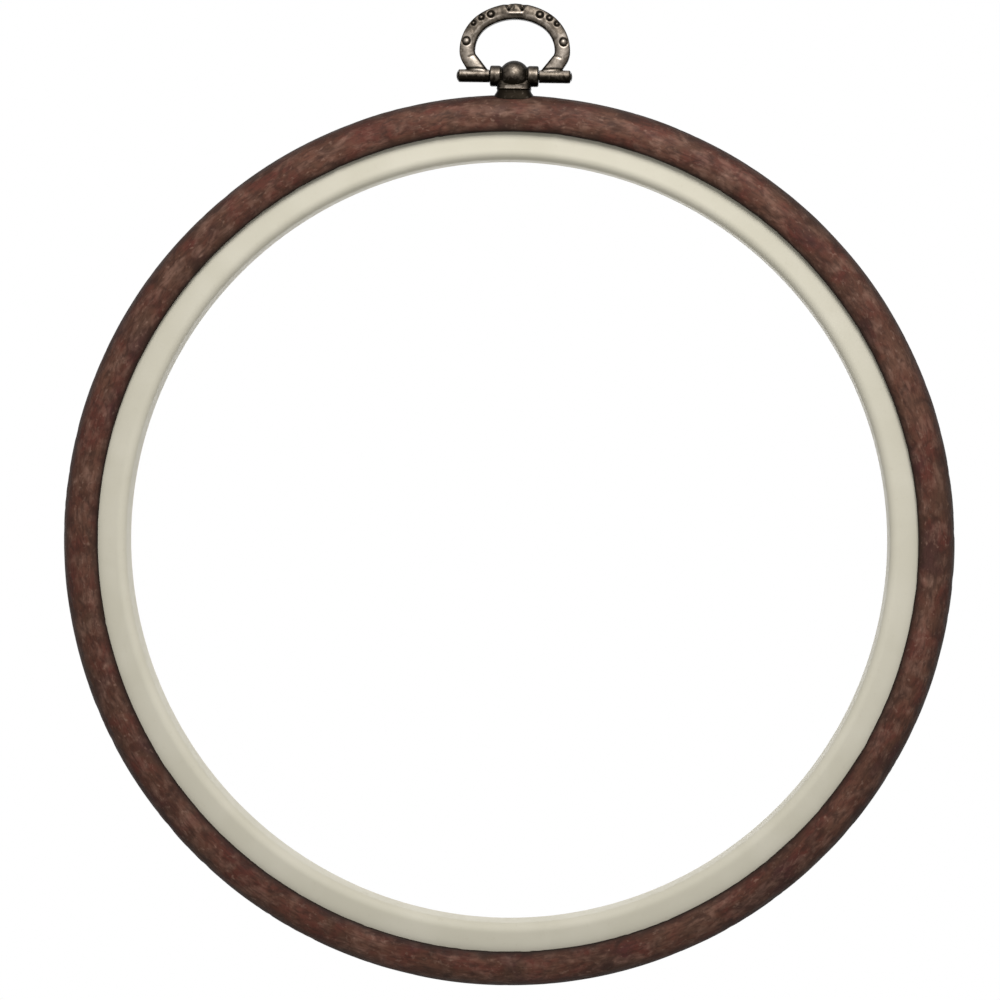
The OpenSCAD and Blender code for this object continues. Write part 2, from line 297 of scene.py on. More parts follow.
# %% Cutting the pocket
def applied(piece):
    """Replaces the piece's mesh by the one that its modifiers make."""
    result = piece.evaluated_get(bpy.context.evaluated_depsgraph_get())
    old, piece.data = piece.data, bpy.data.meshes.new_from_object(result)
    piece.modifiers.clear()
    bpy.data.meshes.remove(old)
    return piece


SLIVER_MM = 0.01
cut = vinyl_ring.modifiers.new("pocket", "BOOLEAN")
cut.operation, cut.solver, cut.object = "DIFFERENCE", "EXACT", cutter
applied(vinyl_ring)
bpy.data.objects.remove(cutter)
skin = bmesh.new()
skin.from_mesh(vinyl_ring.data)
bmesh.ops.dissolve_degenerate(skin, edges=skin.edges, dist=SLIVER_MM * MM)
bmesh.ops.triangulate(skin, faces=[face for face in skin.faces if len(face.verts) > 4])
skin.to_mesh(vinyl_ring.data)
skin.free()
print("vinyl ring:", len(vinyl_ring.data.vertices), "points")

# %% [markdown]
# ## The stiff ring
# The stiff ring is moulded in one piece with a smooth skin. Its section is almost a
# rectangle: the front edge that frames the needlework has a wide round, the other three
# edges a small one. The profile is turned round the hoop's axis with a point every
# quarter of a millimetre, so that the rounds catch the light without facets.

# %% Stiff ring
FRAME_W, FRAME_FRONT_R, FRAME_EDGE_R = 7.4, 2.0, 0.5
WINDOW_R = FRAME_OUT_R - FRAME_W
frame_profile = np.vstack([
    arc([WINDOW_R + FRAME_FRONT_R, FRAME_FRONT - FRAME_FRONT_R], FRAME_FRONT_R, 90, 180),
    arc([WINDOW_R + FRAME_EDGE_R, FRAME_BACK + FRAME_EDGE_R], FRAME_EDGE_R, 180, 270),
    arc([FRAME_OUT_R - FRAME_EDGE_R, FRAME_BACK + FRAME_EDGE_R], FRAME_EDGE_R, 270, 360),
    arc([FRAME_OUT_R - FRAME_EDGE_R, FRAME_FRONT - FRAME_EDGE_R], FRAME_EDGE_R, 0, 90),
])
FRAME_RING_STEPS, FRAME_PROFILE_STEPS = 720, 110
frame_section, _ = even_steps(frame_profile, FRAME_PROFILE_STEPS)
angle = np.linspace(0, 2 * np.pi, FRAME_RING_STEPS, endpoint=False)[:, None]
frame_points = flat_grid(np.stack([
    frame_section[:, 0] * np.cos(angle), -frame_section[:, 1] + 0 * angle,
    frame_section[:, 0] * np.sin(angle),
], axis=-1))
frame_faces = outward(frame_points, grid_faces(FRAME_RING_STEPS, FRAME_PROFILE_STEPS))
stiff_ring = new_piece("stiff_ring", frame_points, frame_faces)
print("stiff ring:", len(frame_points), "points")

# %% [markdown]
# ## Fusing castings
# The hanger's two castings have no sharp joins: where a leg runs into a knuckle, molten
# metal left a small fillet. So each casting is made of simple overlapping surfaces, which
# a voxel remesh melts into one skin, and a few rounds of smoothing soften its corners as
# barrel polishing does. A remesh can leave specks where two skins cross, so only the
# largest shell is kept.

# %% Casting helper
def neighbour_mean(points, edges):
    """For each point, the mean of the points that an edge joins it to."""
    total = np.zeros_like(points)
    count = np.zeros(len(points))
    for a, b in ((0, 1), (1, 0)):
        np.add.at(total, edges[:, a], points[edges[:, b]])
        np.add.at(count, edges[:, a], 1)
    return total / count[:, None]


def index_rows(items, name, width):
    """The whole numbers that a mesh keeps for its items, in rows of that width."""
    numbers = np.empty(len(items) * len(np.atleast_1d(getattr(items[0], name))), np.int32)
    items.foreach_get(name, numbers)
    return numbers.reshape(-1, width)


def shell_numbers(count, edges):
    """A number for each point, the same all over one shell. Every edge gives both of its
    ends the lower of their numbers, and every point then takes the number of the point
    that its own number names, again and again, until none changes."""
    shell = np.arange(count)
    while True:
        lower = shell[edges].min(axis=1)
        after = shell.copy()
        np.minimum.at(after, edges[:, 0], lower)
        np.minimum.at(after, edges[:, 1], lower)
        after = after[after]
        if np.array_equal(after, shell):
            return shell
        shell = after


# %% Casting
def casting(name, shells, voxel_mm, rounds):
    """Joins closed shells, given as (points, faces), into one skin, keeps its largest
    shell and smooths it by moving each point halfway to the mean of its neighbours. The
    remesh is done at 1000 times the size, so a voxel is given in millimetres."""
    starts = np.cumsum([0] + [len(points) for points, _ in shells[:-1]])
    points = np.vstack([points for points, _ in shells]) / MM
    faces = np.vstack([faces + start for (_, faces), start in zip(shells, starts)])
    rough = new_piece("rough_" + name, points, faces)
    remesh = rough.modifiers.new("melt", "REMESH")
    remesh.mode, remesh.voxel_size = "VOXEL", voxel_mm
    mesh = applied(rough).data
    points = mesh_points(mesh) * MM
    faces = index_rows(mesh.loops, "vertex_index", 4)
    edges = index_rows(mesh.edges, "vertices", 2)
    bpy.data.objects.remove(rough)

    shell = shell_numbers(len(points), edges)
    kept = shell == np.bincount(shell).argmax()
    number = np.cumsum(kept) - 1
    points = points[kept]
    faces = number[faces[kept[faces[:, 0]]]]
    edges = number[edges[kept[edges[:, 0]]]]
    for _ in range(rounds):
        points += 0.5 * (neighbour_mean(points, edges) - points)
    piece = new_piece(name, points, faces)
    print(f"{name}: {len(points)} points in one skin, {(~kept).sum()} in specks left out")
    return piece, points, edges


# %% [markdown]
# ## The bail
# The bail is the horseshoe that hangs on a nail. Its middle line is four pieces: a wide
# top arc, a shoulder, a small hip and a straight leg that leans in to its knuckle. A
# domed section travels along that line, and the ornament is a height added to its
# front: pearls in ring grooves along the upper rim, a crest of chevrons over a bar at the
# top, a rosette on each side, and a crease where each leg meets its knuckle.

# %% Middle line of the bail
BAND_W, BAND_T, BAND_CROWN_R = 3.5, 2.6, 2.7
BAIL_W, BAIL_H, WIDEST_H = 25.0, 16.25, 5.6
SHOULDER_R, HIP_R, LEAN = 8.2, 3.3, np.radians(34)
MID_X, MID_H = (BAIL_W - BAND_W) / 2, BAIL_H - BAND_W / 2
shoulder_x, hip_x = MID_X - SHOULDER_R, MID_X - HIP_R
top_rise = MID_H - WIDEST_H
top_r = (shoulder_x ** 2 + top_rise ** 2 - SHOULDER_R ** 2) / (2 * (top_rise - SHOULDER_R))
top_h = MID_H - top_r
join = np.degrees(np.arctan2(WIDEST_H - top_h, shoulder_x))
leg_start = np.array([hip_x + HIP_R * np.cos(LEAN), WIDEST_H - HIP_R * np.sin(LEAN)])
LEG_END_H, FOOT_INNER, FOOT_OUTER = 0.95, 5.7, 10.5
leg_end = np.array([(FOOT_INNER + FOOT_OUTER) / 2, LEG_END_H])

half_line = np.vstack([
    arc([0, top_h], top_r, 90, join, 60),
    arc([shoulder_x, WIDEST_H], SHOULDER_R, join, 0, 80)[1:],
    arc([hip_x, WIDEST_H], HIP_R, 0, -np.degrees(LEAN), 40)[1:],
    leg_end[None, :],
])
LINE_STEPS = 320
half_line, half_at = even_steps(half_line, LINE_STEPS, closed=False)
line = np.vstack([half_line[:0:-1] * [-1, 1], half_line])
from_top = np.concatenate([half_at[:0:-1], half_at])
line_way = np.gradient(line, axis=0)
line_way /= np.linalg.norm(line_way, axis=1)[:, None]
line_out = np.column_stack([-line_way[:, 1], line_way[:, 0]])
print(f"middle line {half_at[-1] * 2:.1f} mm long in {len(line)} stations")

# %% [markdown]
# The section is drawn once, with its dome to the front, its front edges barely rounded
# and its back edges rounder. Its points are spaced evenly, and each has a share of the
# half width, from -1 at the inner side to 1 at the outer one.

# %% Section of the band
FRONT_EDGE_R, BAND_BACK_R = 0.28, 0.5
half_w = BAND_W / 2
dome_y = BAND_T / 2 - BAND_CROWN_R
rim_x = half_w - FRONT_EDGE_R
rim_y = dome_y + np.sqrt((BAND_CROWN_R - FRONT_EDGE_R) ** 2 - rim_x ** 2)
rim_angle = np.degrees(np.arctan2(rim_y - dome_y, rim_x))
back_x, back_y = half_w - BAND_BACK_R, BAND_BACK_R - BAND_T / 2
band = np.vstack([
    arc([0, dome_y], BAND_CROWN_R, rim_angle, 180 - rim_angle, 60),
    arc([-rim_x, rim_y], FRONT_EDGE_R, 180 - rim_angle, 180, 10)[1:],
    arc([-back_x, back_y], BAND_BACK_R, 180, 270, 12),
    arc([back_x, back_y], BAND_BACK_R, 270, 360, 12),
    arc([rim_x, rim_y], FRONT_EDGE_R, 0, rim_angle, 10)[:-1],
])
BAND_STEPS = 150
band, _ = even_steps(band, BAND_STEPS)
share = band[:, 0] / half_w
front = step(band[:, 1], rim_y - 0.1, rim_y + 0.2)

# %% [markdown]
# The ornament is a function of the place on the bail's front, left or right alike. Each
# feature is a bell-shaped groove or a rounded rise round a point or a short line, and
# the features simply add up.

# %% Ornament of the bail
def bell(distance, width):
    """e to the power of minus (distance / width) squared: 1 at distance 0, falling to
    nothing over about two widths."""
    return np.exp(-(distance / width) ** 2)


def line_distance(x, h, start, end):
    """How far the points (x, h) are from the straight line between start and end: their
    distance from the place t along it, with t kept between 0 and 1."""
    way = np.array(end) - np.array(start)
    t = np.clip(((x - start[0]) * way[0] + (h - start[1]) * way[1]) / (way @ way), 0, 1)
    return np.hypot(x - start[0] - t * way[0], h - start[1] - t * way[1])


def pearl(x, h, at, groove_r, pearl_r, depth=0.26, rise=0.2):
    """A half-round pearl, the square root of 1 - (d / r) squared, in a ring groove."""
    d = np.hypot(x - at[0], h - at[1])
    half_round = np.sqrt(np.clip(1 - (d / pearl_r) ** 2, 0, 1))
    return rise * half_round - depth * bell(d - groove_r, 0.17)


# Each pearl has its place, the radius of its groove and its own radius.
PEARLS = [((5.55, 13.75), 0.72, 0.50), ((7.75, 13.05), 0.60, 0.42), ((9.45, 11.75), 0.50, 0.34)]
ROSETTE = ((11.0, 7.65), 0.85, 0.50)
# Each straight feature has its two ends, its height over the band and its width: the
# chevron's two grooves, the bar, the ridge between the chevrons and the hip's groove.
STRAIGHTS = [
    ((2.35, 16.1), (1.5, 14.75), -0.30, 0.22),
    ((1.5, 14.75), (0.65, 16.3), -0.30, 0.22),
    ((-1.45, 13.95), (1.45, 13.95), 0.20, 0.32),
    ((0, 14.9), (0, 16), 0.12, 0.42),
    ((8.4, 4.9), (10.4, 4.1), -0.10, 0.25),
]
CREASE_H, CREASE_DEPTH, CREASE_W = 1.62, 0.14, 0.20


def ornament(x, h):
    """Height of the ornament over the plain band, at x from the middle and h over the
    pivot: the sum of the pearls and the straight features, less the crease."""
    x = np.abs(x)
    total = sum(pearl(x, h, *p) for p in PEARLS) + pearl(x, h, *ROSETTE)
    for start, end, height, width in STRAIGHTS:
        total = total + height * bell(line_distance(x, h, start, end), width)
    return total - CREASE_DEPTH * bell(h - CREASE_H, CREASE_W)


# %% [markdown]
# On the arch a section stands square to the middle line. Down a leg the sections keep
# level instead: each point runs straight from the end of the hip to its place on the
# knuckle, so the leg widens into its foot.

# %% Surface of the bail
leg_length = np.linalg.norm(leg_end - leg_start)
down_leg = step(from_top, half_at[-1] - leg_length, half_at[-1])[:, None]
hip_out = np.array([np.cos(LEAN), -np.sin(LEAN)])
side = np.sign(line[:, 0])[:, None]
leg_top = leg_start + hip_out * band[:, :1]
foot_x = FOOT_INNER + (FOOT_OUTER - FOOT_INNER) * (share + 1) / 2
leg_x = side * (leg_top[:, 0] + (foot_x - leg_top[:, 0]) * down_leg)
leg_h = leg_top[:, 1] + (LEG_END_H - leg_top[:, 1]) * down_leg
arch_x = line[:, 0][:, None] + line_out[:, 0][:, None] * band[None, :, 0]
arch_h = line[:, 1][:, None] + line_out[:, 1][:, None] * band[None, :, 0]
x = np.where(down_leg > 0, leg_x, arch_x)
h = np.where(down_leg > 0, leg_h, arch_h)

# %% Notches of the crest and the sunk field of the pearls
NOTCH_DEPTH, NOTCH_X, NOTCH_W, FIELD_DEPTH = 0.16, 1.5, 0.42, 0.09
at_crest = bell(np.abs(line[:, 0]) - NOTCH_X, NOTCH_W) * (line[:, 1] > MID_H / 2)
notch = NOTCH_DEPTH * at_crest[:, None] * np.clip(share, 0, 1)[None, :] ** 4
x = x - line_out[:, 0][:, None] * notch
h = h - line_out[:, 1][:, None] * notch
# The field runs from about 3 to 11 mm along the line and over the band's outer half.
pearl_field = step(from_top, 2.6, 3.2) * step(from_top, 11.6, 10.8)
sunk = FIELD_DEPTH * pearl_field[:, None] * step(share[None, :], -0.40, -0.06)
rise = (ornament(x, h) - sunk) * front[None, :]
bail_grid = np.stack([x, -(band[None, :, 1] + rise), h + PIVOT_Z], axis=-1)
print(f"ornament from {rise.min():.2f} to {rise.max():.2f} mm")

# %% [markdown]
# Each leg ends in a knuckle, a short tube that turns on the pin. Its profile includes
# the bore, and its free end is rounded more than the end that rubs on the barrel.

# %% Knuckles and the finished bail
KNUCKLE_R, BORE_R, BARREL_HALF, SIDE_GAP = 1.45, 0.78, 5.5, 0.1
KNUCKLE_IN = BARREL_HALF + SIDE_GAP
BAIL_VOXEL = 0.095


def tube_profile(bore_r, outer_r, near, far, near_r, far_r):
    """Round tube in section as (radius, place): a bore, two rounded ends, an outside."""
    return np.vstack([
        [[bore_r, near]],
        arc([near + near_r, outer_r - near_r], near_r, 180, 90, 10)[:, ::-1],
        arc([far - far_r, outer_r - far_r], far_r, 90, 0, 10)[:, ::-1],
        [[bore_r, far]],
    ])


def turned_shell(profile, axis, shift, steps=128):
    """Points and faces of a closed profile turned round an axis, then shifted."""
    points = flat_grid(turned(profile, steps, axis)) + shift
    return points, outward(points, grid_faces(steps, len(profile)))


knuckle_profile = tube_profile(
    BORE_R, KNUCKLE_R, KNUCKLE_IN, KNUCKLE_OUT, near_r=0.12, far_r=0.35,
)
knuckle_profile, _ = even_steps(knuckle_profile, 160)
pivot = np.array([0, 0, PIVOT_Z])
knuckles = [turned_shell(knuckle_profile * [1, side], "x", pivot) for side in (-1, 1)]
bail_shells = [tube(bail_grid), *knuckles]
bail, bail_points, bail_edges = casting("cast_bail", bail_shells, BAIL_VOXEL, rounds=2)

# %% [markdown]
# ## The pin
# The pin is a length of brass wire. Once it is through the knuckles and the barrel, each
# end is hammered into a shallow dome, so that it can't slide out.

# %% Pin
PIN_R, PEEN_R, PEEN_H, PEEN_BASE = 0.7, 1.1, 0.3, KNUCKLE_OUT + SIDE_GAP
dome_r = (PEEN_R ** 2 + PEEN_H ** 2) / (2 * PEEN_H)
dome_edge = np.degrees(np.arcsin(PEEN_R / dome_r))
dome = arc([0, PEEN_BASE + PEEN_H - dome_r], dome_r, 90 - dome_edge, 89, 16)
half_pin = np.vstack([[[PIN_R, 0.0]], [[PIN_R, PEEN_BASE]], dome])
pin_profile = np.vstack([half_pin[:0:-1] * [1, -1], half_pin])
pin_points, pin_faces = turned_rod(pin_profile, steps=96, axis="x")
wire_pin = new_piece("wire_pin", pin_points + pivot, pin_faces)
wire_pin.data.set_sharp_from_angle(angle=np.radians(40))
print(f"pin {2 * pin_profile[:, 1].max():.1f} mm long")

# %% [markdown]
# ## The hanger head
# The head is a cross barrel with a ball in its middle, and a foot that is saddled on the
# ring. The barrel and ball are one turned profile. The foot is a stack of rounded
# rectangles, and its lowest one follows the ring's domed outside.

# %% Barrel and ball
BARREL_R, BALL_R, NECK_R, NECK_X = 2.35, 3.5, 2.05, 2.85
BARREL_EDGE_R, PIN_HOLE_R = 0.4, 0.69
place = np.linspace(-BARREL_HALF, BARREL_HALF, 400)
ball = np.sqrt(np.clip(BALL_R ** 2 - place ** 2, 0, None))
into_round = np.clip(np.abs(place) - (BARREL_HALF - BARREL_EDGE_R), 0, BARREL_EDGE_R)
barrel = BARREL_R - BARREL_EDGE_R + np.sqrt(BARREL_EDGE_R ** 2 - into_round ** 2)
barrel = barrel - (BARREL_R - NECK_R) * bell(np.abs(place) - NECK_X, 0.28)
outside = np.maximum(ball, barrel)
head_profile = np.vstack([
    [[PIN_HOLE_R, -BARREL_HALF]], np.column_stack([outside, place]), [[PIN_HOLE_R, BARREL_HALF]],
])
barrel_shell = turned_shell(head_profile, "x", pivot)

# %% Foot
def ring_top(x, y):
    """Height of the ring's outside over the point (x, y), from its profile's arcs."""
    front_y = np.clip(-y - CROWN[1], 0, None)
    reach = CROWN[0] + np.sqrt(CROWN_R ** 2 - front_y ** 2)
    return np.sqrt(reach ** 2 - x ** 2)


FOOT_ROWS, FOOT_COLUMNS, FOOT_TOP, HEAD_VOXEL = 60, 160, -1.2, 0.085
down = np.linspace(0, 1, FOOT_ROWS)[:, None]
turn = np.linspace(0, 2 * np.pi, FOOT_COLUMNS, endpoint=False)[None, :]
fall = down * (PIVOT_Z + FOOT_TOP - HOOP_R)
below_pivot = fall[:, 0] - FOOT_TOP
# Half widths of the foot at levels below the pivot: a step, a ledge, a cove and a flare.
FOOT_LEVELS = [1.2, 1.85, 2.0, 2.95, 3.15, 3.6, 4.2]
FOOT_HALF_X = [3.5, 3.6, 3.75, 3.95, 3.75, 3.95, 4.45]
FOOT_HALF_Y = [2.3, 2.4, 2.5, 3.35, 2.95, 3.0, 3.2]
half_x = np.interp(below_pivot, FOOT_LEVELS, FOOT_HALF_X)[:, None]
half_y = np.interp(below_pivot, FOOT_LEVELS, FOOT_HALF_Y)[:, None]
ROUNDNESS = 2 / 3.4  # 1 would be an ellipse, 0 a rectangle
saddle_x = half_x * np.sign(np.cos(turn)) * np.abs(np.cos(turn)) ** ROUNDNESS
saddle_y = half_y * np.sign(np.sin(turn)) * np.abs(np.sin(turn)) ** ROUNDNESS
level = PIVOT_Z + FOOT_TOP - fall
saddle_z = level + (ring_top(saddle_x, saddle_y) - HOOP_R) * down ** 4
foot_grid = np.stack([saddle_x, saddle_y, saddle_z], axis=-1)
head_shells = [barrel_shell, tube(foot_grid)]
head, head_points, head_edges = casting("cast_head", head_shells, HEAD_VOXEL, rounds=3)

# %% [markdown]
# ## Wear on the castings
# Antique brass is plated, blackened and then rubbed, so the high places are bare and the
# low places stay dark. How high a point stands over the smoothed casting gives exactly
# that. Painted light is added to it: a painted highlight where a point faces the light
# from the front and above, and painted shade where it turns away. The sum is worked out
# once for each casting and stored on its points.

# %% Wear from height
def above_smoothed(points, edges, rounds=24):
    """The way and distance to each point from where many rounds of smoothing put it."""
    soft = points.copy()
    for _ in range(rounds):
        soft += 0.5 * (neighbour_mean(soft, edges) - soft)
    return points - soft


def outward_normals(piece):
    """The mesh's own point normals as an array."""
    n = np.empty(len(piece.data.vertices) * 3, np.float32)
    piece.data.vertex_normals.foreach_get("vector", n)
    return n.reshape(-1, 3).astype(float)


def rubbed(piece, points, edges, low, high):
    """From 0 in the low places to 1 on the high ones, by the height along the normal."""
    height = np.einsum("ij,ij->i", above_smoothed(points, edges), outward_normals(piece))
    print(f"{piece.name}: heights from {height.min():.2f} to {height.max():.2f} mm")
    return step(height, low, high)


def painted_light_facing(piece, way, least, sharpness):
    """From least to 1 as a point turns to the way of the light, in front or behind: painted
    light, the larger cosine, below 0 counted as 0, to the power of the sharpness."""
    way = np.array(way) / np.linalg.norm(way)
    normals = outward_normals(piece)
    facing = np.maximum(normals @ way, normals @ (way * [1, -1, 1]))
    return least + (1 - least) * np.clip(facing, 0, 1) ** sharpness


# %% [markdown]
# On the head the ball and the collars get a painted highlight where they face the light
# from the front and above. The front ledge of the foot gets a painted highlight as well,
# and the cove under that ledge is darkened to black with painted shade.

# %% Wear, painted highlights and painted shade of the head
SHELF_TOP, SHELF_FOOT, SHELF_HIGHLIGHT, COVE_SHADE = 2.20, 3.05, 0.85, 0.95
head_wear_and_light = rubbed(head, head_points, head_edges, low=-0.12, high=0.10)
# painted highlight: the ball and collars brighter where they face the light from the front and
# above
head_wear_and_light = head_wear_and_light * painted_light_facing(head, (0, -0.94, 0.34), least=0.06, sharpness=5.5)
below = PIVOT_Z - head_points[:, 2]
# painted highlight on the front ledge of the foot, which faces up into the light
shelf_highlight = step(below, SHELF_TOP, SHELF_TOP + 0.2) * step(below, SHELF_FOOT, SHELF_FOOT - 0.12)
shelf_highlight = shelf_highlight * painted_light_facing(head, (0, -0.75, 0.66), least=0.0, sharpness=6.0)
shelf_highlight = shelf_highlight * step(np.abs(head_points[:, 0]), 2.5, 1.8)
# painted shade: the cove under the ledge darkened to black
cove_shade = step(below, SHELF_FOOT, SHELF_FOOT + 0.2)
head_wear_and_light = np.maximum(head_wear_and_light * (1 - COVE_SHADE * cove_shade), SHELF_HIGHLIGHT * shelf_highlight)
mesh_value(head, "wear_and_painted_light", head_wear_and_light)

# %% [markdown]
# The stored value fades with painted shade towards the inner and outer edge of the band,
# where the band turns down and away from the light. The nearest station of the middle
# line gives each point's place across the band.

# %% Place across the band
# Every fourth station is near enough. The points come in 60 parts, to save memory.
EVERY, PARTS = 4, 60
flat = bail_points[:, [0, 2]] - [0, PIVOT_Z]
nearest = np.concatenate([
    np.argmin(((part[:, None, :] - line[None, ::EVERY, :]) ** 2).sum(axis=2), axis=1)
    for part in np.array_split(flat, PARTS)
]) * EVERY
across_band = np.einsum("ij,ij->i", flat - line[nearest], line_out[nearest]) / half_w
from_side = np.abs(bail_points[:, 0])
print(f"across the band from {across_band.min():.2f} to {across_band.max():.2f}")

# %% Painted shade on the bail's rims and patina in its hollows
FIELD_DARK, GROOVE_DARK, CREST_DARK, CREASE_DARK = 0.42, 0.8, 0.45, 0.7
# painted shade: darker along the inner rim, which faces down, and the outer rim, which turns
# away from the light
inner_rim_shade = step(across_band, -0.93, -0.71)
outer_rim_shade = step(across_band, 0.98, 0.82)
among_pearls = np.interp(from_top[nearest], [1.8, 2.6, 11.2, 12.2], [0.2, 1, 1, 0])
in_relief = 1 - FIELD_DARK * among_pearls * step(across_band, -0.35, -0.15)
for at, groove_r, _ in (*PEARLS, ROSETTE):
    from_groove = np.hypot(from_side - at[0], flat[:, 1] - at[1]) - groove_r
    in_relief = in_relief * (1 - GROOVE_DARK * bell(from_groove, width=0.20))
beside_crest = step(from_side, 2.9, 2.4) * step(flat[:, 1], 14.2, 14.5)
in_relief = in_relief * (1 - CREST_DARK * beside_crest)
in_relief = in_relief * (1 - CREASE_DARK * bell(flat[:, 1] - CREASE_H + 0.05, width=0.24))

# %% Wear and painted light of the bail
on_knuckle = np.hypot(bail_points[:, 1], flat[:, 1]) < KNUCKLE_R + 0.05
knuckle_end = step(from_side, KNUCKLE_OUT - 0.15, KNUCKLE_OUT - 0.55)
# painted light: the band brighter where it faces the light from the front and above
band_light_and_patina = painted_light_facing(bail, (0, -0.92, 0.40), least=0.15, sharpness=1.5)
band_light_and_patina = band_light_and_patina * inner_rim_shade * outer_rim_shade * np.where(bail_points[:, 1] < 0, in_relief, 1)
# painted light: each knuckle brighter on its upper part, as lit from above, and darker towards
# its outer end
knuckle_painted_light = painted_light_facing(bail, (0, -0.55, 0.83), least=0.05, sharpness=2.2) * knuckle_end
bail_wear = rubbed(bail, bail_points, bail_edges, low=-0.12, high=0.03)
mesh_value(bail, "wear_and_painted_light", bail_wear * np.where(on_knuckle, knuckle_painted_light, band_light_and_patina))

# %% [markdown]
# ## Colours and nodes
# Colours are written as they are picked on a screen and turned to linear values by one
# function. One more function adds a node of any kind with its settings and links.

# %% Colours
def linear(hex_colour):
    """sRGB hex to linear red, green, blue and alpha, by the standard's two-part curve."""
    srgb = np.array([int(hex_colour[k:k + 2], 16) for k in (1, 3, 5)]) / 255
    low, high = srgb / 12.92, ((srgb + 0.055) / 1.055) ** 2.4
    return (*np.where(srgb <= 0.04045, low, high), 1.0)


# %% Nodes
OVER = {"out": 2, "data_type": "RGBA"}  # a Mix node that lays colour 7 over colour 6 by 0


def add(tree, kind, inputs=None, out=0, stops=(), **settings):
    """Adds the shader node of that kind. An input that is a socket is linked, any other
    is set. Stops are a colour ramp's (place, hex or grey level). Gives the output out."""
    node = tree.nodes.new("ShaderNode" + kind)
    for name, value in settings.items():
        setattr(node, name, value)
    for name, value in (inputs or {}).items():
        if isinstance(value, bpy.types.NodeSocket):
            tree.links.new(value, node.inputs[name])
        else:
            node.inputs[name].default_value = value
    for _ in stops[2:]:
        node.color_ramp.elements.new(1)
    for k, (place, colour) in enumerate(stops):
        element = node.color_ramp.elements[k]
        element.position = place
        element.color = linear(colour) if isinstance(colour, str) else (colour,) * 3 + (1,)
    return node.outputs[out] if node.outputs else None


def material(name):
    """A new material with an empty node tree, and that tree."""
    made = bpy.data.materials.new(name)
    made.use_nodes = True
    made.node_tree.nodes.clear()
    return made, made.node_tree


def pattern(tree, place, size_mm, stretch=1.0, detail=3.0, distortion=0.0, roughness=0.5):
    """Noise at a place in metres, with features of about size_mm that are drawn out by
    stretch in the first two directions: the noise of the place divided by those sizes."""
    per_metre = 1 / (size_mm * MM)
    scale = (per_metre / stretch, per_metre / stretch, per_metre)
    scaled = add(tree, "Mapping", {"Vector": place, "Scale": scale})
    return add(tree, "TexNoise", {
        "Vector": scaled, "Scale": 1.0, "Detail": detail,
        "Roughness": roughness, "Distortion": distortion,
    })


# %% [markdown]
# ## Moulded wood-grain vinyl
# The ring is soft PVC, moulded in brown and then printed and rubbed to look like burl
# wood. To the eye it is a matt red-brown with short curly lighter figures and fine dark
# fibres. Its sides are darkened with painted shade where the dome turns away from the
# light. The pattern follows the ring: its coordinates are the cosine and sine of the
# angle round the hoop, at the ring's own radius, and the length across its section.

# %% Coordinates that follow the ring
def store_ring_coordinates(piece):
    """(R cos a, R sin a, across) in metres for each point, a the angle round the hoop."""
    points = mesh_points(piece.data)
    across = np.empty(len(points), np.float32)
    piece.data.attributes["across"].data.foreach_get("value", across)
    angle = np.arctan2(points[:, 2], points[:, 0])
    ring = np.column_stack([HOOP_R * np.cos(angle), HOOP_R * np.sin(angle), across]) * MM
    layer = piece.data.attributes.new("round_the_ring", "FLOAT_VECTOR", "POINT")
    layer.data.foreach_set("vector", ring.astype(np.float32).ravel())
    print("ring coordinates for", len(points), "points")


store_ring_coordinates(vinyl_ring)

# %% [markdown]
# The wood is painted in layers. The body goes from dark to light red-brown in cloudy
# patches about as wide as the ring. Over it lie patches of other browns, then the light
# curly figure and its specks, and last the dark flecks and fibres. Each layer has a
# pattern of its own real size, and the pattern's level says how much of the colour shows.

# %% Vinyl colours
vinyl, tree = material("wood_grain_vinyl_moulded_pvc")
round_ring = add(tree, "Attribute", out="Vector", attribute_name="round_the_ring")
tone = pattern(tree, round_ring, 9, stretch=1.6)
hue = pattern(tree, round_ring, 6, stretch=1.4, detail=2, distortion=0.5)
figure = pattern(tree, round_ring, 2.4, stretch=1.7, distortion=0.35, roughness=0.55)
speckle = pattern(tree, round_ring, 0.9, stretch=1.5, detail=2, distortion=0.3)
fibre = pattern(tree, round_ring, 0.5, stretch=6, distortion=0.4)
fleck = pattern(tree, round_ring, 1.1, stretch=1.8, distortion=0.8)

wood = add(tree, "ValToRGB", {"Fac": tone}, stops=[
    (0.34, "#472a21"), (0.50, "#5b392d"), (0.66, "#6c493b"),
])
for layer, stops, colour in (
    (hue, [(0.48, 0.0), (0.66, 0.6)], "#523d30"),
    (hue, [(0.36, 0.7), (0.50, 0.0)], "#5f322a"),
    (tone, [(0.34, 0.5), (0.44, 0.0)], "#4b2d2e"),
    (figure, [(0.47, 0.0), (0.60, 0.28), (0.74, 0.60)], "#8f6d5e"),
    (speckle, [(0.60, 0.0), (0.74, 0.50)], "#967666"),
    (fleck, [(0.32, 0.50), (0.48, 0.0)], "#38221a"),
    (fibre, [(0.36, 0.45), (0.52, 0.0)], "#3a261e"),
):
    amount = add(tree, "ValToRGB", {"Fac": layer}, stops=stops)
    wood = add(tree, "Mix", {0: amount, 6: wood, 7: linear(colour)}, **OVER)
furrows = add(tree, "Attribute", out="Fac", attribute_name="furrow")
in_furrow = add(tree, "Math", {0: furrows, 1: 0.6}, operation="MULTIPLY")
wood = add(tree, "Mix", {0: in_furrow, 6: wood, 7: linear("#35221b")}, **OVER)

# %% [markdown]
# Painted shade darkens the ring in two places: along the rounded inner edge of the lip,
# which stands in its own shadow, and down the outer side, where the dome turns away from
# the light, as far as the back. The length across the section, which starts at the lip,
# says where.

